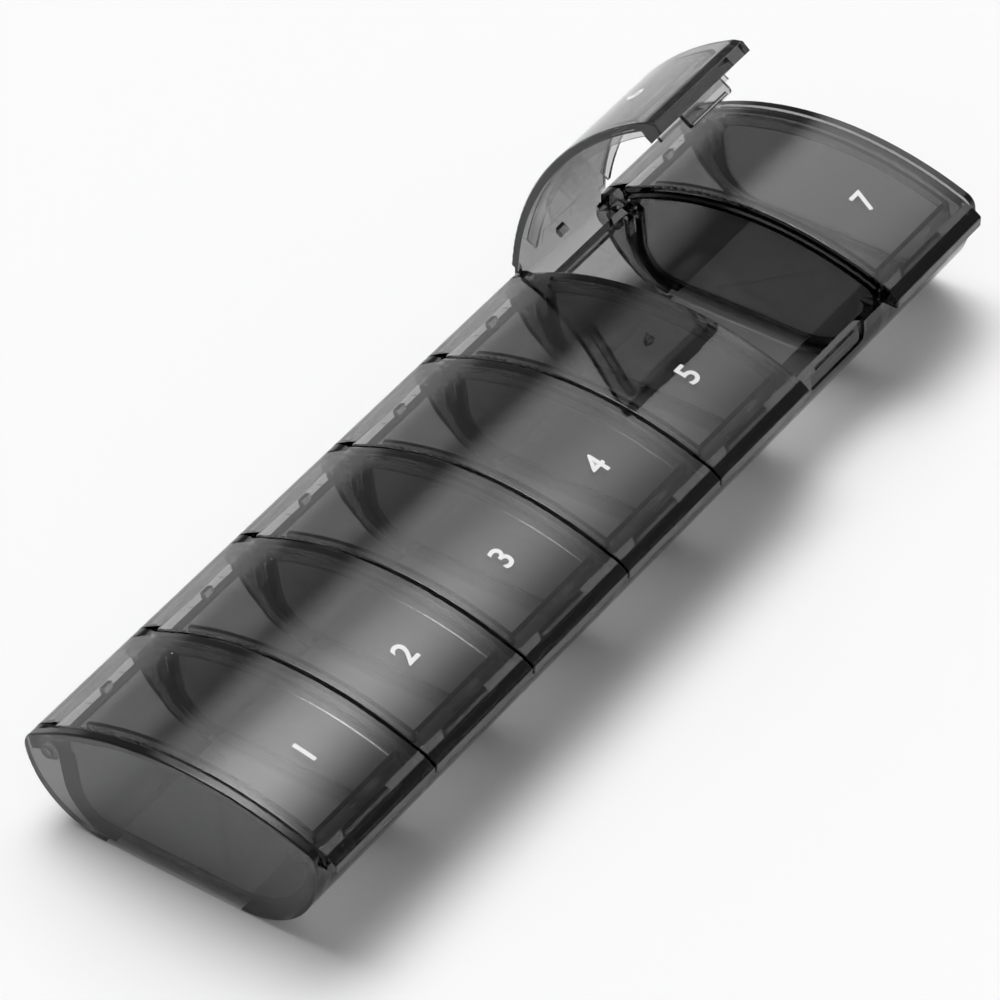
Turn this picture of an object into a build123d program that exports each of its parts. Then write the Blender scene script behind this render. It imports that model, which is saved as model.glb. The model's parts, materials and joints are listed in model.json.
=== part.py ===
from build123d import *
from math import acos, atan2, cos, degrees, radians, sin, sqrt
import os

# Seven-day pill box in smoke-clear plastic: one long moulded tray with seven
# compartments side by side, and seven arched lids, each on its own hinge.
# X runs along the row of lids, -Y is the latch side, +Y the hinge side, +Z up.
# The origin lies on the table, under the middle of the tray.  Millimetres.

# ---------------------------------------------------------------- the row
BAYS = 7
BAY_PITCH = 26.5            # from one lid to the next
LID_GAP = 0.4               # between neighbouring lids
PARTITION = 2.0             # wall between two compartments
END_WALL = 1.55             # beside the outer lids, level with their tops

# ---------------------------------------------------- the arch and the hinge
ARCH_RADIUS = 63.8          # outside of the closed lids
ARCH_TOP = 28.5             # highest line of the closed lids above the table
ARCH_MIDDLE_Y = -3.2        # the highest line lies a little to the front
HINGE_Y = 28.5              # hinge axis
BARREL_RADIUS = 4.4         # rounded hinge edge of a lid, about the hinge axis
PIN_RADIUS = 1.1
PIN_CLEARANCE = 0.1         # round the pin, in its hole
PIN_REACH = 0.85            # how far a pin enters its hole
PIN_HOLE_DEPTH = 1.15       # blind holes in the end walls
KNUCKLE_RADIUS = 2.0        # boss round the pin
RUNNING_GAP = 0.4           # between moving lid parts and the tray

# ------------------------------------------------------------------ the lid
LID_WALL = 1.6
LID_EDGE_ROUND = 0.3        # rounding along the two cross edges, outside
CHEEK = 1.4                 # end plates of the hinge barrel
BARREL_WRAP = 22.0          # degrees that the barrel reaches below the axis
SKIRT = 0.8                 # inner sealing rib, its thickness
SKIRT_DEPTH = 2.0
SKIRT_CLEARANCE = 1.0       # from the compartment's side walls
SKIRT_START_Y = 20.6        # where the side ribs begin, near the hinge
FRONT_RIB_DROP = 0.7        # how far the front rib reaches behind the front wall
NOSE_Y = -32.7              # tip of the thumb lip
NOSE_BREAK_Y = -31.3        # where the arch turns down to the lip
NOSE_INSET = 0.3            # nose's inner face behind the front face of the tray
NOSE_RISE = 2.1             # tip of the lip above the lid's lower edge
NOSE_UNDERCUT = 0.3
NOSE_FLARE = 0.05
NOSE_KNEE = 3.0             # rounding between the arch and the lip
NOSE_TIP_ROUND = 0.4
LOWER_EDGE_GAP = 0.3        # between the lid's lower edge and the front wall
TOOTH_WIDTH = 2.0           # small tooth under the lid, over the back wall
TOOTH_THICKNESS = 1.2
TOOTH_OFFSET_X = -0.9       # from the lid's middle
TOOTH_GAP = 0.5             # above the back wall
OPEN_LIDS = {6: 53.0}       # which lids stand open, and by how many degrees

# ---------------------------------------------------------------- the latch
TAB_WIDTH = 11.4
TAB_THICKNESS = 1.1
TAB_DROP = 3.0              # below the lid's lower edge
TAB_STAND_OFF = 0.4         # tab's inner face in front of the front wall
TAB_ROUND = 0.8             # rounded lower corners, seen from the front
BEAD_RADIUS = 0.35          # catch bead along the tab, and the ridge it passes
BEAD_HEIGHT = 0.55          # bead's axis above the tab's lower end
RIDGE_HEIGHT = 1.2          # ridge's axis above the bead's axis
SCOOP_WIDTH = 16.0          # recess in the front wall, where the tab hangs
SCOOP_DEPTH = 0.8
SCOOP_HEIGHT = 4.6
SCOOP_ROUND = 1.2

# ----------------------------------------------------------------- the tray
WALL = 1.6                  # back wall
FRONT_WALL = 1.8
FLOOR = 1.8
FRONT_FACE_Y = -29.0
FRONT_WALL_TOP = 18.4
BACK_WALL_TOP = 17.9
TOE_STRAIGHT = 0.4          # upright part of the front wall, above its round toe
BACK_CORNER_RADIUS = 9.6    # outside, floor to back wall
INNER_FILLET = 2.6          # floor to the compartment's side walls
UPPER_GAP = 0.35            # partitions below the closed lid
NOSE_CLEARANCE = 0.7        # partitions behind the lid's nose
END_EDGE_ROUND = 0.4        # rounding round the outside of an end wall
END_NOSE_Y = -30.2          # front of the end walls, beside the lids' lips
END_NOSE_ROUND = 2.7
END_NOSE_HEEL = 0.6         # rounding below it
FINGER_WIDTH = 1.8          # stop finger by each far partition
FINGER_THICKNESS = 1.3
FINGER_DROP = 5.4
FINGER_SPACE = 0.9          # between finger and partition
BOSS_RADIUS = 1.1
BOSS_REACH = 1.5
BOSS_Y = 22.6
BOSS_DROP = 2.6             # boss axis below the underside of the lid
HEADROOM = 20.0             # how far cuts reach above the lids

# --------------------------------------------------------- worked-out values
INNER_HALF = (BAYS * BAY_PITCH - PARTITION) / 2
TOE_RADIUS = FRONT_WALL_TOP - TOE_STRAIGHT      # outside, floor to front wall
ARCH_MIDDLE_Z = ARCH_TOP - ARCH_RADIUS
INNER_RADIUS = ARCH_RADIUS - LID_WALL
UNDER_RADIUS = INNER_RADIUS - UPPER_GAP
HINGE_REACH = ARCH_RADIUS - BARREL_RADIUS
HINGE_Z = ARCH_MIDDLE_Z + sqrt(HINGE_REACH ** 2 - (HINGE_Y - ARCH_MIDDLE_Y) ** 2)
TANGENT_ANGLE = degrees(atan2(HINGE_Z - ARCH_MIDDLE_Z, HINGE_Y - ARCH_MIDDLE_Y))
TANGENT_Y = HINGE_Y + BARREL_RADIUS * cos(radians(TANGENT_ANGLE))
BARREL_INNER = BARREL_RADIUS - LID_WALL
BACK_FACE_Y = HINGE_Y - KNUCKLE_RADIUS - RUNNING_GAP
BACK_INNER_Y = BACK_FACE_Y - WALL
END_LEDGE = (PARTITION + LID_GAP) / 2           # part of an end wall below a lid
FRONT_INNER_Y = FRONT_FACE_Y + FRONT_WALL
HEEL_RADIUS = HINGE_Z
LID_WIDTH = BAY_PITCH - LID_GAP
BAY_WIDTH = BAY_PITCH - PARTITION
BARREL_WIDTH = BAY_WIDTH - 2 * RUNNING_GAP
SKIRT_WIDTH = BAY_WIDTH - 2 * SKIRT_CLEARANCE
LID_LOWER_Z = FRONT_WALL_TOP + LOWER_EDGE_GAP
NOSE_INNER_Y = FRONT_FACE_Y + NOSE_INSET
HIGH = ARCH_TOP + HEADROOM
NOTCH_REACH = BARREL_RADIUS + RUNNING_GAP
NOTCH_TURN = degrees(
    acos((NOTCH_REACH ** 2 + HINGE_REACH ** 2 - INNER_RADIUS ** 2) / (2 * NOTCH_REACH * HINGE_REACH))
)
NOTCH_Y = HINGE_Y + NOTCH_REACH * cos(radians(TANGENT_ANGLE + 180 - NOTCH_TURN))


def bay_middle(bay):
    """X of the middle of compartment 1, 2, ... BAYS."""
    return (bay - (BAYS + 1) / 2) * BAY_PITCH


def along(face, x_from, x_to):
    """Extrude a face drawn in Y and Z from one X to another."""
    return Pos(x_from, 0, 0) * extrude(Plane.YZ * face, x_to - x_from)


def block(y_from, y_to, z_from, z_to):
    """Rectangle in Y and Z."""
    middle = Pos((y_from + y_to) / 2, (z_from + z_to) / 2)
    return middle * Rectangle(y_to - y_from, z_to - z_from)


def disc(y, z, radius):
    return Pos(y, z) * Circle(radius)


def arch_z(y, radius):
    """Height of an arch of the given radius at Y."""
    return ARCH_MIDDLE_Z + sqrt(radius ** 2 - (y - ARCH_MIDDLE_Y) ** 2)


def arch_disc(radius):
    return disc(ARCH_MIDDLE_Y, ARCH_MIDDLE_Z, radius)


def hinge_disc(radius):
    return disc(HINGE_Y, HINGE_Z, radius)


def sector(y, z, from_angle, to_angle, reach):
    """Wedge with its point at (y, z), for cutting arcs out of rings."""
    steps = 8
    turn = (to_angle - from_angle) / steps
    rim = [from_angle + turn * step for step in range(steps + 1)]
    points = [(y, z)]
    points += [(y + reach * cos(radians(a)), z + reach * sin(radians(a))) for a in rim]
    return make_face(Polyline(*points, close=True))


# ================================================================= the tray
def cup_outline(back_y, front_y, bottom_z, back_radius, toe_radius):
    """U-shaped section of the tray: upright back, flat bottom, round toe."""
    toe_z = bottom_z + toe_radius
    back_bend = back_radius * (1 - cos(radians(45)))
    toe_bend = toe_radius * (1 - cos(radians(45)))
    outline = [
        Line((back_y, HIGH), (back_y, bottom_z + back_radius)),
        ThreePointArc(
            (back_y, bottom_z + back_radius),
            (back_y - back_bend, bottom_z + back_bend),
            (back_y - back_radius, bottom_z),
        ),
        Line((back_y - back_radius, bottom_z), (front_y + toe_radius, bottom_z)),
        ThreePointArc(
            (front_y + toe_radius, bottom_z),
            (front_y + toe_bend, bottom_z + toe_bend),
            (front_y, toe_z),
        ),
        Line((front_y, toe_z), (front_y, HIGH)),
        Line((front_y, HIGH), (back_y, HIGH)),
    ]
    return make_face(outline)


def front_room():
    """Room for the noses of the lids, above the front wall."""
    return block(-2 * HIGH, NOSE_INNER_Y + NOSE_CLEARANCE, FRONT_WALL_TOP, 2 * HIGH)


def tray_section():
    """Section of the tray's trough, filled in up to the lids."""
    cup = cup_outline(BACK_FACE_Y, FRONT_FACE_Y, 0, BACK_CORNER_RADIUS, TOE_RADIUS)
    return (cup & arch_disc(UNDER_RADIUS)) - front_room()


def plate_section(radius):
    """Section of a partition or end wall, below an arch of the given radius.

    It runs out behind the back wall as a gusset that carries the hinge pins,
    with a round nose about the hinge axis.
    """
    gusset = cup_outline(HINGE_Y + BARREL_RADIUS, FRONT_FACE_Y, 0, HEEL_RADIUS, TOE_RADIUS)
    below_hinge = gusset & block(-HIGH, HIGH, 0, HINGE_Z)
    below_lid = gusset & arch_disc(radius) & block(-HIGH, TANGENT_Y, 0, HIGH)
    return below_lid + below_hinge - front_room() + hinge_disc(BARREL_RADIUS)


def pocket(bay):
    """What a compartment leaves empty, with rounded corners at the floor."""
    section = cup_outline(
        BACK_INNER_Y,
        FRONT_INNER_Y,
        FLOOR,
        BACK_CORNER_RADIUS - WALL,
        TOE_RADIUS - FRONT_WALL,
    )
    middle = bay_middle(bay)
    hollow = along(section, middle - BAY_WIDTH / 2, middle + BAY_WIDTH / 2)
    ends = hollow.faces().sort_by(Axis.X)
    edges = [e for end in (ends[0], ends[-1]) for e in end.edges() if e.center().Z < HIGH - HEADROOM / 2]
    return fillet(edges, INNER_FILLET)


def wall_room(bay):
    """Space above the front and back walls of a compartment."""
    middle = bay_middle(bay)
    start, stop = middle - BAY_WIDTH / 2, middle + BAY_WIDTH / 2
    above_front = along(block(-HIGH, 0, FRONT_WALL_TOP, HIGH), start, stop)
    above_back = along(block(0, HIGH, BACK_WALL_TOP, HIGH), start, stop)
    return above_front + above_back


def pin_hole(x_from, x_to):
    return along(hinge_disc(PIN_RADIUS + PIN_CLEARANCE), x_from, x_to)


def scoop(bay):
    """Shallow recess outside the front wall, open to the wall's top edge."""
    low = FRONT_WALL_TOP - SCOOP_HEIGHT
    cut = Pos(bay_middle(bay), FRONT_FACE_Y, (low + HIGH) / 2)
    box = cut * Box(SCOOP_WIDTH, 2 * SCOOP_DEPTH, HIGH - low)
    return fillet(box.faces().sort_by(Axis.Z)[0].edges().filter_by(Axis.Y), SCOOP_ROUND)


def catch_ridge(bay):
    """Rounded ridge in the recess; the lid's bead sits below it."""
    z = LID_LOWER_Z - TAB_DROP + BEAD_HEIGHT + RIDGE_HEIGHT
    middle = bay_middle(bay)
    y = FRONT_FACE_Y + SCOOP_DEPTH
    return along(disc(y, z, BEAD_RADIUS), middle - TAB_WIDTH / 2, middle + TAB_WIDTH / 2)


def stop_finger(bay):
    """Small finger on the back wall, beside the far partition, and a boss."""
    far = bay_middle(bay) + BAY_WIDTH / 2
    top = BACK_WALL_TOP
    tip = top - FINGER_DROP
    outline = Polyline(
        (BACK_INNER_Y + WALL / 2, top),
        (BACK_INNER_Y - FINGER_THICKNESS, top - FINGER_THICKNESS / 2),
        (BACK_INNER_Y - FINGER_THICKNESS, tip + FINGER_THICKNESS),
        (BACK_INNER_Y - FINGER_THICKNESS / 3, tip),
        (BACK_INNER_Y + WALL / 2, tip),
        close=True,
    )
    finger = along(make_face(outline), far - FINGER_SPACE - FINGER_WIDTH, far - FINGER_SPACE)
    boss_z = arch_z(BOSS_Y, INNER_RADIUS) - BOSS_DROP
    boss = along(disc(BOSS_Y, boss_z, BOSS_RADIUS), far - BOSS_REACH, far + PARTITION / 2)
    return finger + boss


def end_section():
    """Section of an end wall beside a lid: level with it, with a round front."""
    nose = block(END_NOSE_Y, 0, FRONT_WALL_TOP, HIGH) & arch_disc(ARCH_RADIUS)
    nose = fillet(nose.vertices().sort_by(Axis.X)[:2].sort_by(Axis.Y)[1], END_NOSE_ROUND)
    nose = fillet(nose.vertices().sort_by(Axis.X)[:2].sort_by(Axis.Y)[0], END_NOSE_HEEL)
    return plate_section(ARCH_RADIUS) + nose


def end_wall(end):
    """End wall at the left (-1) or right (1) end: a ledge and a raised plate."""
    raised = along(end_section(), 0, END_WALL)
    outside = raised.faces().sort_by(Axis.X)[-1]
    raised = fillet(outside.edges(), END_EDGE_ROUND)
    plate = along(plate_section(UNDER_RADIUS), 0, END_LEDGE) + Pos(END_LEDGE, 0, 0) * raised
    if end < 0:
        plate = mirror(plate, Plane.YZ)
    return Pos(end * INNER_HALF, 0, 0) * plate


def partition(boundary_x):
    plate = plate_section(UNDER_RADIUS)
    return along(plate, boundary_x - PARTITION / 2, boundary_x + PARTITION / 2)


def pin_holes(boundaries):
    """Through holes in the partitions, blind ones in the end walls."""
    holes = [pin_hole(x - PARTITION, x + PARTITION) for x in boundaries]
    holes.append(pin_hole(-INNER_HALF - PIN_HOLE_DEPTH, -INNER_HALF + PARTITION))
    holes.append(pin_hole(INNER_HALF - PARTITION, INNER_HALF + PIN_HOLE_DEPTH))
    return holes


def tray():
    bays = range(1, BAYS + 1)
    boundaries = [bay_middle(bay) + BAY_PITCH / 2 for bay in bays[:-1]]
    body = along(tray_section(), -INNER_HALF, INNER_HALF)
    body -= [wall_room(bay) for bay in bays]
    body += [partition(x) for x in boundaries] + [end_wall(-1), end_wall(1)]
    body -= [pocket(bay) for bay in bays]
    body -= [scoop(bay) for bay in bays]
    body += [catch_ridge(bay) for bay in bays]
    body += [stop_finger(bay) for bay in bays]
    return body - pin_holes(boundaries)


# ================================================================= the lids
def shell_section():
    """Arched shell of a lid, from the hinge's tangent to the thumb lip."""
    ring = arch_disc(ARCH_RADIUS) - arch_disc(INNER_RADIUS)
    front_angle = degrees(acos((NOSE_BREAK_Y - ARCH_MIDDLE_Y) / ARCH_RADIUS))
    return ring & sector(
        ARCH_MIDDLE_Y, ARCH_MIDDLE_Z, TANGENT_ANGLE, front_angle, 2 * ARCH_RADIUS
    )


def nose_section():
    """The front of the lid: it turns down and flares to the thumb lip."""
    break_z = arch_z(NOSE_BREAK_Y, ARCH_RADIUS)
    tip_z = LID_LOWER_Z + NOSE_RISE
    flare_y = (NOSE_BREAK_Y + NOSE_Y) / 2
    flare_z = (break_z + tip_z) / 2 - NOSE_FLARE
    root_z = arch_z(NOSE_INNER_Y, ARCH_RADIUS) - LID_WALL / 2
    lower_y = NOSE_Y + NOSE_UNDERCUT
    outline = [
        ThreePointArc((NOSE_BREAK_Y, break_z), (flare_y, flare_z), (NOSE_Y, tip_z)),
        Line((NOSE_Y, tip_z), (lower_y, LID_LOWER_Z)),
        Line((lower_y, LID_LOWER_Z), (NOSE_INNER_Y, LID_LOWER_Z)),
        Line((NOSE_INNER_Y, LID_LOWER_Z), (NOSE_INNER_Y, root_z)),
        Line((NOSE_INNER_Y, root_z), (NOSE_BREAK_Y, break_z)),
    ]
    return make_face(outline)


def barrel_section():
    """Rounded hinge edge of a lid, about the hinge axis."""
    ring = hinge_disc(BARREL_RADIUS) - hinge_disc(BARREL_INNER)
    return ring & sector(HINGE_Y, HINGE_Z, -BARREL_WRAP, TANGENT_ANGLE, 2 * BARREL_RADIUS)


def cheek_section():
    """Plate that joins the barrel's shell to the boss round the pin."""
    under_shell = hinge_disc(2 * BARREL_RADIUS) & arch_disc(ARCH_RADIUS - LID_WALL / 2)
    wedge = sector(HINGE_Y, HINGE_Z, -BARREL_WRAP, 90, 3 * BARREL_RADIUS)
    web = (under_shell & wedge) & hinge_disc(BARREL_RADIUS - LID_WALL / 2)
    return web + hinge_disc(KNUCKLE_RADIUS)


def lid_plate():
    """The arched plate with its thumb lip, as wide as a lid."""
    section = shell_section() + nose_section()
    knee = section.vertices().sort_by_distance((NOSE_BREAK_Y, arch_z(NOSE_BREAK_Y, ARCH_RADIUS)))
    section = fillet(knee[0], NOSE_KNEE)
    section = fillet(section.vertices().sort_by(Axis.X)[0], NOSE_TIP_ROUND)
    section -= block(NOTCH_Y, HIGH, 0, HIGH)
    plate = along(section, -LID_WIDTH / 2, LID_WIDTH / 2)
    outside = plate.faces().sort_by(Axis.Z)[-1]
    edges = [e for e in outside.edges() if abs(abs(e.center().X) - LID_WIDTH / 2) < 0.01]
    return fillet(edges, LID_EDGE_ROUND)


def hinge_barrel():
    """Rounded hinge edge between two gussets, with end plates and pins."""
    inlet = NOTCH_Y - LID_WALL
    hinge_strip = shell_section() & block(inlet, HIGH, 0, HIGH)
    half = BARREL_WIDTH / 2
    barrel = along(hinge_strip + barrel_section(), -half, half)
    cheek = cheek_section()
    for side in (-1, 1):
        outer = side * half
        inner = side * (half - CHEEK)
        barrel += along(cheek, min(outer, inner), max(outer, inner))
        tip = side * (BAY_WIDTH / 2 + PIN_REACH)
        barrel += along(hinge_disc(PIN_RADIUS), min(tip, inner), max(tip, inner))
    return barrel


def sealing_ribs():
    """Rib round the inside of a lid, along both sides and behind the front wall."""
    band = arch_disc(INNER_RADIUS + LID_WALL / 2) - arch_disc(INNER_RADIUS - SKIRT_DEPTH)
    front_y = FRONT_INNER_Y + RUNNING_GAP
    side = band & block(front_y, SKIRT_START_Y, 0, HIGH)
    front = block(front_y, front_y + SKIRT, LID_LOWER_Z, HIGH)
    front &= arch_disc(INNER_RADIUS + LID_WALL / 2)
    low = block(front_y, front_y + SKIRT, FRONT_WALL_TOP - FRONT_RIB_DROP, LID_LOWER_Z)
    low_half = BAY_WIDTH / 2 - INNER_FILLET
    half = SKIRT_WIDTH / 2
    ribs = along(front, -half, half) + along(low, -low_half, low_half)
    ribs += along(side, -half, -half + SKIRT)
    return ribs + along(side, half - SKIRT, half)


def locating_tooth():
    """Small tooth under the lid, over the top of the back wall."""
    y = (BACK_INNER_Y + BACK_FACE_Y + TOOTH_THICKNESS) / 2
    low = BACK_WALL_TOP + TOOTH_GAP
    section = block(y - TOOTH_THICKNESS, y, low, HIGH) & arch_disc(INNER_RADIUS + LID_WALL / 2)
    section = fillet(section.vertices().sort_by(Axis.Y)[:1], TOOTH_THICKNESS / 3)
    return along(section, TOOTH_OFFSET_X - TOOTH_WIDTH / 2, TOOTH_OFFSET_X + TOOTH_WIDTH / 2)


def latch_tab():
    """Tab that hangs in the scoop of the front wall, with a catch bead."""
    low = LID_LOWER_Z - TAB_DROP
    high = LID_LOWER_Z + LID_WALL / 2
    inner_y = FRONT_FACE_Y - TAB_STAND_OFF
    tab = Pos(0, inner_y - TAB_THICKNESS / 2, (low + high) / 2)
    tab *= Box(TAB_WIDTH, TAB_THICKNESS, high - low)
    tab = fillet(tab.faces().sort_by(Axis.Z)[0].edges().filter_by(Axis.Y), TAB_ROUND)
    half = TAB_WIDTH / 2 - TAB_ROUND
    return tab + along(disc(inner_y, low + BEAD_HEIGHT, BEAD_RADIUS), -half, half)


def lid(number):
    """One lid, closed or standing open."""
    body = lid_plate() + hinge_barrel()
    body += sealing_ribs()
    body += locating_tooth()
    body += latch_tab()
    body = Pos(bay_middle(number), 0, 0) * body
    if number in OPEN_LIDS:
        axis = Axis((0, HINGE_Y, HINGE_Z), (-1, 0, 0))
        body = body.rotate(axis, OPEN_LIDS[number])
    return body


def main():
    os.makedirs("parts", exist_ok=True)
    export_step(tray(), "parts/tray.step")
    for number in range(1, BAYS + 1):
        export_step(lid(number), f"parts/lid_{number}.step")


main()
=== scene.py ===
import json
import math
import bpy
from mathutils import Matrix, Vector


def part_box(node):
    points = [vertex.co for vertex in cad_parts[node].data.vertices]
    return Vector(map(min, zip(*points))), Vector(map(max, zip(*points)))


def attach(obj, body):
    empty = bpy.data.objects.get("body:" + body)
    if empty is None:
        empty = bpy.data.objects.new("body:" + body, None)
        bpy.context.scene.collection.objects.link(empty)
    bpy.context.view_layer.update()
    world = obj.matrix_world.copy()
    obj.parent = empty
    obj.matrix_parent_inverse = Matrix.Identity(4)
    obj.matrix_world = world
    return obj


bl_info = {
    "name": "Seven-day pill box",
    "version": (1, 0, 0),
    "blender": (4, 5, 0),
    "location": "3D View > Sidebar > Pill box",
    "description": "Smoke-clear plastic, printed numerals, mould lines and a studio",
    "category": "Object",
}

import bmesh
import bpy
from mathutils import Matrix, Vector

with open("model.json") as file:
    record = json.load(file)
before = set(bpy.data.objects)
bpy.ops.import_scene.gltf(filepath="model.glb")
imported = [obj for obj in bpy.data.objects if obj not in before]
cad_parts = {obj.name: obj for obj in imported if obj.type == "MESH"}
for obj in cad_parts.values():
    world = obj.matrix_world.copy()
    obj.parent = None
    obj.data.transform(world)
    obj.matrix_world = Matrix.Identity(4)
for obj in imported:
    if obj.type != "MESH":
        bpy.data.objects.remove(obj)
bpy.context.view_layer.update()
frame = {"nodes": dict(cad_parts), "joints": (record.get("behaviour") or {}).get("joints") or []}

MM = 0.001
WELD = 0.0005 * MM
FIGURE_HEIGHT = 0.73        # a figure's height in the built-in font, of its size
NUMERAL_CUTS = 12           # strips across a numeral, so that it follows the arch
CURVE_STEPS = 8             # for each curved stroke of a numeral
LOWEST_BOX = 0.05           # sine of the lowest height at which the boxes are lit
LIDS = sorted(name for name in frame["nodes"] if name.startswith("lid_"))
HINGES = {joint["child"]: joint for joint in frame["joints"]}
RESTS_OPEN = {name: joint["range_deg"][0] < 0 for name, joint in HINGES.items()}
ARCH_RADIUS = 63.8 * MM
ARCH_MIDDLE_Y = -3.2 * MM
ARCH_MIDDLE_Z = max(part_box(name)[1].z for name in LIDS if not RESTS_OPEN[name]) - ARCH_RADIUS
LID_WALL = 1.6 * MM
LINE_STEP = 0.8 * MM        # between the points of a mould line
RIDGE_SIDES = 6
INK_ROUGHNESS = 0.55
INK_IOR = 1.5
CARD_ROUGHNESS = 0.9
SWEEP_TOP = 0.25            # sine of the height where the sweep's light has gone
SWEEP_FULL = 0.1            # and of the height below which it is full
BOX_PARTS = ("light", "slope", "half", "fade")
TABLE_HALF = 3.0            # metres
TABLE_CORNERS = ((-1, -1), (1, -1), (1, 1), (-1, 1))
SENSOR_WIDTH = 36.0         # millimetres, as Blender's cameras have it
FAR_CLIP = 20.0             # metres


# ------------------------------------------------------------------ colours
SMOKE_TINT = "141110"
SMOKE_CLEAR = "FFFFFF"
PRINT_WHITE = "ECECEC"
TABLE_WHITE = "FAFAFA"
LAMP_WHITE = "FFFFFF"


def linear(hex_code):
    """Linear RGBA from an sRGB hex code."""
    parts = [int(hex_code[i : i + 2], 16) / 255 for i in (0, 2, 4)]
    bent = [p / 12.92 if p <= 0.04045 else ((p + 0.055) / 1.055) ** 2.4 for p in parts]
    return (*bent, 1.0)


# --------------------------------------------------------------- properties
class SmokePlasticSettings(bpy.types.PropertyGroup):
    """The tinted plastic that tray and lids are moulded from."""

    tint: bpy.props.FloatVectorProperty(
        name="Tint",
        description="Colour that the light keeps on its way through the wall",
        subtype="COLOR",
        size=4,
        min=0.0,
        max=1.0,
        default=linear(SMOKE_TINT),
    )
    depth: bpy.props.FloatProperty(
        name="Depth of tint",
        description="Absorption in each metre; 520 leaves less than half the light after 1.5 mm",
        default=520.0,
        min=0.0,
    )
    roughness: bpy.props.FloatProperty(
        name="Roughness", description="Of the polished mould", default=0.04, min=0.0, max=1.0
    )
    ior: bpy.props.FloatProperty(
        name="IOR", description="Refraction of the plastic", default=1.5, min=1.0, max=2.0
    )


class NumeralSettings(bpy.types.PropertyGroup):
    """The day numbers printed on the lids."""

    height: bpy.props.FloatProperty(
        name="Height", description="Of a printed numeral", default=4.6 * MM, unit="LENGTH"
    )
    middle_y: bpy.props.FloatProperty(
        name="Place",
        description="Y of the middle of the print",
        default=-17.0 * MM,
        unit="LENGTH",
    )
    shift_x: bpy.props.FloatProperty(
        name="Shift",
        description="From the lid's middle, along the row",
        default=0.0,
        unit="LENGTH",
    )
    film: bpy.props.FloatProperty(
        name="Ink film",
        description="How far the ink stands proud",
        default=0.03 * MM,
        unit="LENGTH",
    )
    root: bpy.props.FloatProperty(
        name="Ink root",
        description="How deep the ink keys into the lid",
        default=0.02 * MM,
        unit="LENGTH",
    )
    stroke: bpy.props.FloatProperty(
        name="Stroke",
        description="Widening of the font's thin strokes",
        default=0.1 * MM,
        unit="LENGTH",
    )
    ink: bpy.props.FloatVectorProperty(
        name="Ink",
        description="Colour of the print",
        subtype="COLOR",
        size=4,
        min=0.0,
        max=1.0,
        default=linear(PRINT_WHITE),
    )


class MouldLineSettings(bpy.types.PropertyGroup):
    """The fine line that the mould's insert leaves under each lid, near the hinge."""

    half_width: bpy.props.FloatProperty(
        name="Half Width",
        description="Half the line's length across",
        default=6.0 * MM,
        unit="LENGTH",
    )
    line_y: bpy.props.FloatProperty(
        name="Line Y", description="Where it crosses the lid", default=22.3 * MM, unit="LENGTH"
    )
    return_y: bpy.props.FloatProperty(
        name="Return Y",
        description="Where its returns to the hinge end",
        default=25.2 * MM,
        unit="LENGTH",
    )
    branch_x: bpy.props.FloatProperty(
        name="Branch X",
        description="Second return, from the lid's middle",
        default=2.5 * MM,
        unit="LENGTH",
    )
    ridge: bpy.props.FloatProperty(
        name="Ridge Radius",
        description="Half the line's thickness",
        default=0.07 * MM,
        unit="LENGTH",
    )


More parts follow.
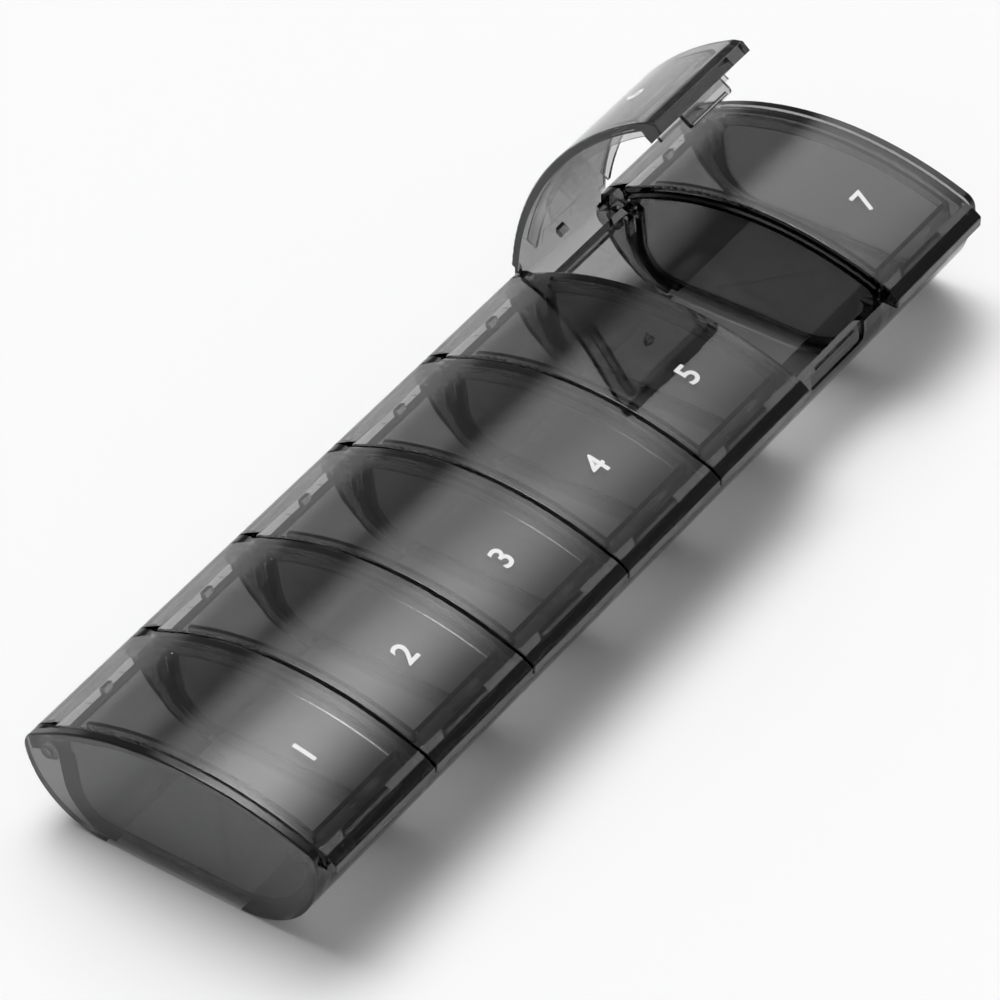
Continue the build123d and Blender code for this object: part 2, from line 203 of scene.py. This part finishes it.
class StageSettings(bpy.types.PropertyGroup):
    """Floor, light and camera."""

    table: bpy.props.FloatVectorProperty(
        name="Table",
        description="Colour of the white table",
        subtype="COLOR",
        size=4,
        min=0.0,
        max=1.0,
        default=linear(TABLE_WHITE),
    )
    room: bpy.props.FloatProperty(
        name="Room light",
        description="Strength of the even light all round",
        default=0.225,
        min=0.0,
    )
    sweep: bpy.props.FloatProperty(
        name="Sweep",
        description="Extra light of the white sweep at the horizon",
        default=0.5,
        min=0.0,
    )
    box_light: bpy.props.FloatProperty(
        name="Soft box",
        description="Strength of the large soft box overhead",
        default=7.3,
        min=0.0,
    )
    box_slope: bpy.props.FloatVectorProperty(
        name="Soft box place",
        description="Where it hangs: how far along X and Y for each metre up",
        size=2,
        default=(0.265, 0.35),
    )
    box_half: bpy.props.FloatVectorProperty(
        name="Soft box half size",
        description="Half its length and width, for each metre up",
        size=2,
        default=(0.365, 0.31),
    )
    box_fade: bpy.props.FloatVectorProperty(
        name="Soft box fade",
        description="Width of the faded rims of its cloth, for each metre up",
        size=2,
        min=0.01,
        default=(0.26, 0.5),
    )
    fill_light: bpy.props.FloatProperty(
        name="Fill box",
        description="Strength of the weak box beside the large one",
        default=1.9,
        min=0.0,
    )
    fill_slope: bpy.props.FloatVectorProperty(
        name="Fill box place",
        description="Where it hangs: how far along X and Y for each metre up",
        size=2,
        default=(0.93, 0.42),
    )
    fill_half: bpy.props.FloatVectorProperty(
        name="Fill box half size",
        description="Half its length and width, for each metre up",
        size=2,
        default=(0.28, 0.6),
    )
    fill_fade: bpy.props.FloatVectorProperty(
        name="Fill box fade",
        description="Width of the faded rims of its cloth, for each metre up",
        size=2,
        min=0.01,
        default=(0.26, 0.55),
    )
    azimuth: bpy.props.FloatProperty(
        name="Camera azimuth",
        description="Turn of the view about Z",
        default=math.radians(-47.699),
        subtype="ANGLE",
    )
    elevation: bpy.props.FloatProperty(
        name="Camera elevation",
        description="Height of the view above the table",
        default=math.radians(42.744),
        subtype="ANGLE",
    )
    roll: bpy.props.FloatProperty(
        name="Camera roll",
        description="Turn of the picture about the line of sight",
        default=math.radians(-7.596),
        subtype="ANGLE",
    )
    target: bpy.props.FloatVectorProperty(
        name="Camera target",
        description="Point in the middle of the picture",
        subtype="TRANSLATION",
        size=3,
        default=(-5.049 * MM, 1.448 * MM, 14.0 * MM),
    )
    distance: bpy.props.FloatProperty(
        name="Camera distance", description="From the target", default=1009.33 * MM, unit="LENGTH"
    )
    lens: bpy.props.FloatProperty(
        name="Lens", description="Focal length in millimetres on a 36 mm sensor", default=212.265
    )


# ------------------------------------------------------------- small helpers
def add_node(tree, kind, inputs=None, **settings):
    """Add a shader or geometry node; an input is a value or a socket to link from."""
    node = tree.nodes.new(kind)
    for name, value in settings.items():
        setattr(node, name, value)
    for name, value in (inputs or {}).items():
        if isinstance(value, bpy.types.NodeSocket):
            tree.links.new(value, node.inputs[name])
        else:
            node.inputs[name].default_value = value
    return node


def new_material(name):
    """An empty node material and its node tree."""
    material = bpy.data.materials.new(name)
    material.use_nodes = True
    material.node_tree.nodes.clear()
    return material, material.node_tree


def new_object(name, data):
    """Link a new object that holds the data into the scene."""
    thing = bpy.data.objects.new(name, data)
    bpy.context.scene.collection.objects.link(thing)
    return thing


def paint(thing, material):
    """Give every face of an object the one material."""
    thing.data.materials.clear()
    thing.data.materials.append(material)


# ---------------------------------------------------------------- materials
def smoke_styrene(name, settings):
    """Smoke-tinted clear styrene, injection moulded in a polished tool.

    It reads as grey glass where one wall lies over white, and as black where the
    eye looks along a wall; the skin is glossy.  Lamps shine through it.
    """
    material, tree = new_material(name)
    skin = add_node(
        tree,
        "ShaderNodeBsdfPrincipled",
        {
            "Base Color": linear(SMOKE_CLEAR),
            "Roughness": settings.roughness,
            "IOR": settings.ior,
            "Transmission Weight": 1.0,
        },
    )
    passing = add_node(tree, "ShaderNodeBsdfTransparent", {"Color": linear(SMOKE_CLEAR)})
    path = add_node(tree, "ShaderNodeLightPath")
    mixed = add_node(
        tree,
        "ShaderNodeMixShader",
        {0: path.outputs["Is Shadow Ray"], 1: skin.outputs[0], 2: passing.outputs[0]},
    )
    tint = add_node(
        tree,
        "ShaderNodeVolumeAbsorption",
        {"Color": settings.tint, "Density": settings.depth},
    )
    add_node(
        tree,
        "ShaderNodeOutputMaterial",
        {"Surface": mixed.outputs[0], "Volume": tint.outputs[0]},
    )
    return material


def screen_ink(name, settings):
    """White screen-printing ink: a thin, even, half-matt film with slightly soft gloss."""
    material, tree = new_material(name)
    ink = add_node(
        tree,
        "ShaderNodeBsdfPrincipled",
        {"Base Color": settings.ink, "Roughness": INK_ROUGHNESS, "IOR": INK_IOR},
    )
    add_node(tree, "ShaderNodeOutputMaterial", {"Surface": ink.outputs[0]})
    return material


def table_card(name, settings):
    """Matt white card under and behind the box."""
    material, tree = new_material(name)
    card = add_node(
        tree,
        "ShaderNodeBsdfPrincipled",
        {
            "Base Color": settings.table,
            "Roughness": CARD_ROUGHNESS,
            "Specular IOR Level": 0.0,
        },
    )
    add_node(tree, "ShaderNodeOutputMaterial", {"Surface": card.outputs[0]})
    return material


# ---------------------------------------------------------------- operators
class PILLBOX_OT_plastic(bpy.types.Operator):
    """Give the tray and the lids their smoke-clear plastic"""

    bl_idname = "pillbox.plastic"
    bl_label = "Smoke plastic"

    def execute(self, context):
        settings = context.scene.pillbox_plastic
        tray_skin = smoke_styrene("smoke_styrene_tray", settings)
        lid_skin = smoke_styrene("smoke_styrene_lids", settings)
        for name, node in frame["nodes"].items():
            paint(node, lid_skin if name in LIDS else tray_skin)
        return {"FINISHED"}


LINE_INPUTS = {
    "Half Width": "NodeSocketFloat",
    "Line Y": "NodeSocketFloat",
    "Return Y": "NodeSocketFloat",
    "Branch X": "NodeSocketFloat",
    "Ridge Radius": "NodeSocketFloat",
    "Arch Radius": "NodeSocketFloat",
    "Arch Middle Y": "NodeSocketFloat",
    "Arch Middle Z": "NodeSocketFloat",
    "Material": "NodeSocketMaterial",
}


def arch_height(y):
    """Height of a closed lid's outside at Y."""
    return ARCH_MIDDLE_Z + math.sqrt(ARCH_RADIUS**2 - (y - ARCH_MIDDLE_Y) ** 2)


def lid_turn(name):
    """Matrix that swings a closed lid to where it stands at rest."""
    joint = HINGES[name]
    if not RESTS_OPEN[name]:
        return Matrix.Identity(4)
    pivot = Vector(joint["pos_m"])
    turn = Matrix.Rotation(-math.radians(joint["range_deg"][0]), 4, Vector(joint["axis"]))
    return Matrix.Translation(pivot) @ turn @ Matrix.Translation(-pivot)


def plain_mesh(draft):
    """Mesh of an object as evaluated, welded; the object goes."""
    bpy.context.view_layer.update()
    evaluated = draft.evaluated_get(bpy.context.evaluated_depsgraph_get())
    mesh = bpy.data.meshes.new_from_object(evaluated)
    bpy.data.objects.remove(draft)
    shape = bmesh.new()
    shape.from_mesh(mesh)
    bmesh.ops.remove_doubles(shape, verts=shape.verts, dist=WELD)
    bmesh.ops.recalc_face_normals(shape, faces=shape.faces)
    shape.to_mesh(mesh)
    shape.free()
    return mesh


def cut_across(mesh, height, cuts):
    """Cut a flat mesh into strips along Y, so that it can follow the arch."""
    shape = bmesh.new()
    shape.from_mesh(mesh)
    for cut in range(1, cuts):
        place = (0.0, height * (cut / cuts - 0.5), 0.0)
        bmesh.ops.bisect_plane(
            shape,
            geom=shape.verts[:] + shape.edges[:] + shape.faces[:],
            plane_co=place,
            plane_no=(0.0, 1.0, 0.0),
        )
    shape.to_mesh(mesh)
    shape.free()


def printed_numeral(number, lid, settings, ink):
    """A numeral laid on the outside of its lid as a thin film of ink."""
    font = bpy.data.curves.new(f"numeral_{number}_outline", "FONT")
    font.body = str(number)
    font.align_x = "CENTER"
    font.align_y = "CENTER"
    font.size = settings.height / FIGURE_HEIGHT
    font.offset = settings.stroke
    font.extrude = (settings.film + settings.root) / 2
    font.resolution_u = CURVE_STEPS
    slab = plain_mesh(new_object("numeral_draft", font))
    cut_across(slab, settings.height, NUMERAL_CUTS)
    middle = HINGES[lid]["pos_m"][0] + settings.shift_x
    lift = (settings.film - settings.root) / 2
    for vertex in slab.vertices:
        y = vertex.co.y + settings.middle_y
        vertex.co = Vector((vertex.co.x + middle, y, arch_height(y) + vertex.co.z + lift))
    slab.transform(lid_turn(lid))
    numeral = new_object(f"numeral_{number}", slab)
    paint(numeral, ink)
    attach(numeral, lid)


class PILLBOX_OT_numerals(bpy.types.Operator):
    """Print the numbers 1 to 7 on the lids"""

    bl_idname = "pillbox.numerals"
    bl_label = "Printed numerals"

    def execute(self, context):
        settings = context.scene.pillbox_numerals
        ink = screen_ink("white_screen_ink", settings)
        for number, lid in enumerate(LIDS, start=1):
            printed_numeral(number, lid, settings, ink)
        return {"FINISHED"}


def math_node(tree, operation, first, second=0.0):
    """Output of a math node."""
    return add_node(tree, "ShaderNodeMath", {0: first, 1: second}, operation=operation).outputs[0]


def straight(tree, x_from, y_from, x_to, y_to):
    """Curve line in the XY plane between two places."""
    start = add_node(tree, "ShaderNodeCombineXYZ", {"X": x_from, "Y": y_from}).outputs[0]
    end = add_node(tree, "ShaderNodeCombineXYZ", {"X": x_to, "Y": y_to}).outputs[0]
    line = add_node(tree, "GeometryNodeCurvePrimitiveLine", {"Start": start, "End": end})
    return line.outputs[0]


def mould_line_tree():
    """Tree for a thin ridge along the underside of the arch, with two returns."""
    tree = bpy.data.node_groups.new("mould_lines", "GeometryNodeTree")
    for name, kind in LINE_INPUTS.items():
        tree.interface.new_socket(name, in_out="INPUT", socket_type=kind)
    tree.interface.new_socket("Geometry", in_out="OUTPUT", socket_type="NodeSocketGeometry")
    given = add_node(tree, "NodeGroupInput").outputs
    left = math_node(tree, "MULTIPLY", given["Half Width"], -1.0)
    lines = add_node(tree, "GeometryNodeJoinGeometry")
    for ends in (
        (left, given["Line Y"], given["Half Width"], given["Line Y"]),
        (left, given["Line Y"], left, given["Return Y"]),
        (given["Branch X"], given["Line Y"], given["Branch X"], given["Return Y"]),
    ):
        tree.links.new(straight(tree, *ends), lines.inputs[0])
    fine = add_node(
        tree,
        "GeometryNodeResampleCurve",
        {"Curve": lines.outputs[0], "Length": LINE_STEP},
        mode="LENGTH",
    )
    place = add_node(tree, "GeometryNodeInputPosition").outputs[0]
    split = add_node(tree, "ShaderNodeSeparateXYZ", {0: place}).outputs
    run = math_node(tree, "SUBTRACT", split["Y"], given["Arch Middle Y"])
    under = math_node(
        tree,
        "SUBTRACT",
        math_node(tree, "POWER", given["Arch Radius"], 2.0),
        math_node(tree, "POWER", run, 2.0),
    )
    height = math_node(tree, "ADD", math_node(tree, "SQRT", under), given["Arch Middle Z"])
    laid = add_node(
        tree, "ShaderNodeCombineXYZ", {"X": split["X"], "Y": split["Y"], "Z": height}
    ).outputs[0]
    curve = add_node(
        tree, "GeometryNodeSetPosition", {"Geometry": fine.outputs[0], "Position": laid}
    )
    profile = add_node(
        tree,
        "GeometryNodeCurvePrimitiveCircle",
        {"Resolution": RIDGE_SIDES, "Radius": given["Ridge Radius"]},
    )
    ridge = add_node(
        tree,
        "GeometryNodeCurveToMesh",
        {"Curve": curve.outputs[0], "Profile Curve": profile.outputs[0], "Fill Caps": True},
    )
    real = add_node(tree, "GeometryNodeRealizeInstances", {0: ridge.outputs[0]})
    skinned = add_node(
        tree,
        "GeometryNodeSetMaterial",
        {"Geometry": real.outputs[0], "Material": given["Material"]},
    )
    add_node(tree, "NodeGroupOutput", {"Geometry": skinned.outputs[0]})
    return tree


def grown_mesh(name, tree, values):
    """Mesh that a geometry tree makes from the given values."""
    draft = new_object(name, bpy.data.meshes.new(name))
    modifier = draft.modifiers.new(name, "NODES")
    modifier.node_group = tree
    for item in tree.interface.items_tree:
        if item.in_out == "INPUT" and item.name in values:
            modifier[item.identifier] = values[item.name]
    return plain_mesh(draft)


class PILLBOX_OT_mould_lines(bpy.types.Operator):
    """Lay the mould's fine line under each lid"""

    bl_idname = "pillbox.mould_lines"
    bl_label = "Mould lines"

    def execute(self, context):
        settings = context.scene.pillbox_mould_lines
        skin = bpy.data.materials["smoke_styrene_lids"]
        values = {
            "Half Width": settings.half_width,
            "Line Y": settings.line_y,
            "Return Y": settings.return_y,
            "Branch X": settings.branch_x,
            "Ridge Radius": settings.ridge,
            "Arch Radius": ARCH_RADIUS - LID_WALL,
            "Arch Middle Y": ARCH_MIDDLE_Y,
            "Arch Middle Z": ARCH_MIDDLE_Z,
            "Material": skin,
        }
        tree = mould_line_tree()
        for lid in LIDS:
            mesh = grown_mesh("mould_line_draft", tree, values)
            mesh.transform(Matrix.Translation((HINGES[lid]["pos_m"][0], 0.0, 0.0)))
            mesh.transform(lid_turn(lid))
            line = new_object(f"mould_line_{lid}", mesh)
            paint(line, skin)
            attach(line, lid)
        return {"FINISHED"}


def soft_box(tree, slopes, light, place, half, fade):
    """Light of a box with faded rims, as seen along each slope of X and Y to Z."""
    share = light
    for slope, middle, reach, rim in zip(slopes, place, half, fade):
        off = math_node(tree, "ABSOLUTE", math_node(tree, "SUBTRACT", slope, middle))
        lit = add_node(
            tree,
            "ShaderNodeMapRange",
            {
                "Value": off,
                "From Min": reach - rim / 2,
                "From Max": reach + rim / 2,
                "To Min": 1.0,
                "To Max": 0.0,
            },
            interpolation_type="SMOOTHSTEP",
        ).outputs[0]
        share = math_node(tree, "MULTIPLY", lit, share)
    return share


def studio_room(settings):
    """World: dim room, white sweep at the horizon, a large soft box and a weak one."""
    world = bpy.data.worlds.new("studio_room")
    world.use_nodes = True
    tree = world.node_tree
    tree.nodes.clear()
    way = add_node(tree, "ShaderNodeTexCoord").outputs["Generated"]
    split = add_node(tree, "ShaderNodeSeparateXYZ", {0: way}).outputs
    height = math_node(tree, "MAXIMUM", split["Z"], LOWEST_BOX)
    slopes = [math_node(tree, "DIVIDE", split[axis], height) for axis in "XY"]
    box, fill = (
        soft_box(tree, slopes, *(getattr(settings, f"{lamp}_{part}") for part in BOX_PARTS))
        for lamp in ("box", "fill")
    )
    sweep = add_node(
        tree,
        "ShaderNodeMapRange",
        {
            "Value": split["Z"],
            "From Min": SWEEP_FULL,
            "From Max": SWEEP_TOP,
            "To Min": settings.room + settings.sweep,
            "To Max": settings.room,
        },
        interpolation_type="SMOOTHSTEP",
    ).outputs[0]
    level = math_node(tree, "ADD", sweep, math_node(tree, "ADD", box, fill))
    room = add_node(
        tree, "ShaderNodeBackground", {"Color": linear(LAMP_WHITE), "Strength": level}
    )
    white = add_node(tree, "ShaderNodeBackground", {"Color": linear(LAMP_WHITE), "Strength": 1.0})
    path = add_node(tree, "ShaderNodeLightPath")
    mixed = add_node(
        tree,
        "ShaderNodeMixShader",
        {0: path.outputs["Is Camera Ray"], 1: room.outputs[0], 2: white.outputs[0]},
    )
    add_node(tree, "ShaderNodeOutputWorld", {"Surface": mixed.outputs[0]})
    return world


def aim_camera(settings):
    """Camera at the photograph's angle, from turn, height and roll."""
    back = Vector(
        (
            math.sin(settings.azimuth) * math.cos(settings.elevation),
            -math.cos(settings.azimuth) * math.cos(settings.elevation),
            math.sin(settings.elevation),
        )
    )
    level = Vector((math.cos(settings.azimuth), math.sin(settings.azimuth), 0.0))
    upward = back.cross(level)
    right = level * math.cos(settings.roll) + upward * math.sin(settings.roll)
    up = upward * math.cos(settings.roll) - level * math.sin(settings.roll)
    lens = bpy.data.cameras.new("studio_camera")
    lens.sensor_width = SENSOR_WIDTH
    lens.lens = settings.lens
    lens.clip_end = FAR_CLIP
    camera = new_object("studio_camera", lens)
    turn = Matrix((right, up, back)).transposed().to_4x4()
    place = Vector(settings.target) + back * settings.distance
    camera.matrix_world = Matrix.Translation(place) @ turn
    return camera


class PILLBOX_OT_stage(bpy.types.Operator):
    """Set the white table, the lamps and the camera"""

    bl_idname = "pillbox.stage"
    bl_label = "Studio"

    def execute(self, context):
        settings = context.scene.pillbox_stage
        sheet = bpy.data.meshes.new("table")
        corners = [(x * TABLE_HALF, y * TABLE_HALF, 0) for x, y in TABLE_CORNERS]
        sheet.from_pydata(corners, [], [(0, 1, 2, 3)])
        table = new_object("table", sheet)
        paint(table, table_card("white_table_card", settings))
        context.scene.world = studio_room(settings)
        context.scene.camera = aim_camera(settings)
        context.scene.view_settings.view_transform = "Standard"
        return {"FINISHED"}


class PILLBOX_PT_panel(bpy.types.Panel):
    """Lists the pill box operators"""

    bl_idname = "PILLBOX_PT_panel"
    bl_label = "Pill box"
    bl_space_type = "VIEW_3D"
    bl_region_type = "UI"
    bl_category = "Pill box"

    def draw(self, context):
        for operator in OPERATORS:
            self.layout.operator(operator.bl_idname)
        for settings in (
            context.scene.pillbox_plastic,
            context.scene.pillbox_numerals,
            context.scene.pillbox_mould_lines,
            context.scene.pillbox_stage,
        ):
            box = self.layout.box()
            for name in settings.__annotations__:
                box.prop(settings, name)


OPERATORS = (
    PILLBOX_OT_plastic,
    PILLBOX_OT_numerals,
    PILLBOX_OT_mould_lines,
    PILLBOX_OT_stage,
)
GROUPS = {
    "pillbox_plastic": SmokePlasticSettings,
    "pillbox_numerals": NumeralSettings,
    "pillbox_mould_lines": MouldLineSettings,
    "pillbox_stage": StageSettings,
}


def register():
    for group in GROUPS.values():
        bpy.utils.register_class(group)
    for name, group in GROUPS.items():
        setattr(bpy.types.Scene, name, bpy.props.PointerProperty(type=group))
    for operator in OPERATORS:
        bpy.utils.register_class(operator)
    bpy.utils.register_class(PILLBOX_PT_panel)


def unregister():
    bpy.utils.unregister_class(PILLBOX_PT_panel)
    for operator in reversed(OPERATORS):
        bpy.utils.unregister_class(operator)
    for name, group in GROUPS.items():
        delattr(bpy.types.Scene, name)
        bpy.utils.unregister_class(group)


def main():
    register()
    bpy.ops.pillbox.plastic()
    bpy.ops.pillbox.numerals()
    bpy.ops.pillbox.mould_lines()
    bpy.ops.pillbox.stage()


if __name__ == "__main__":
    main()
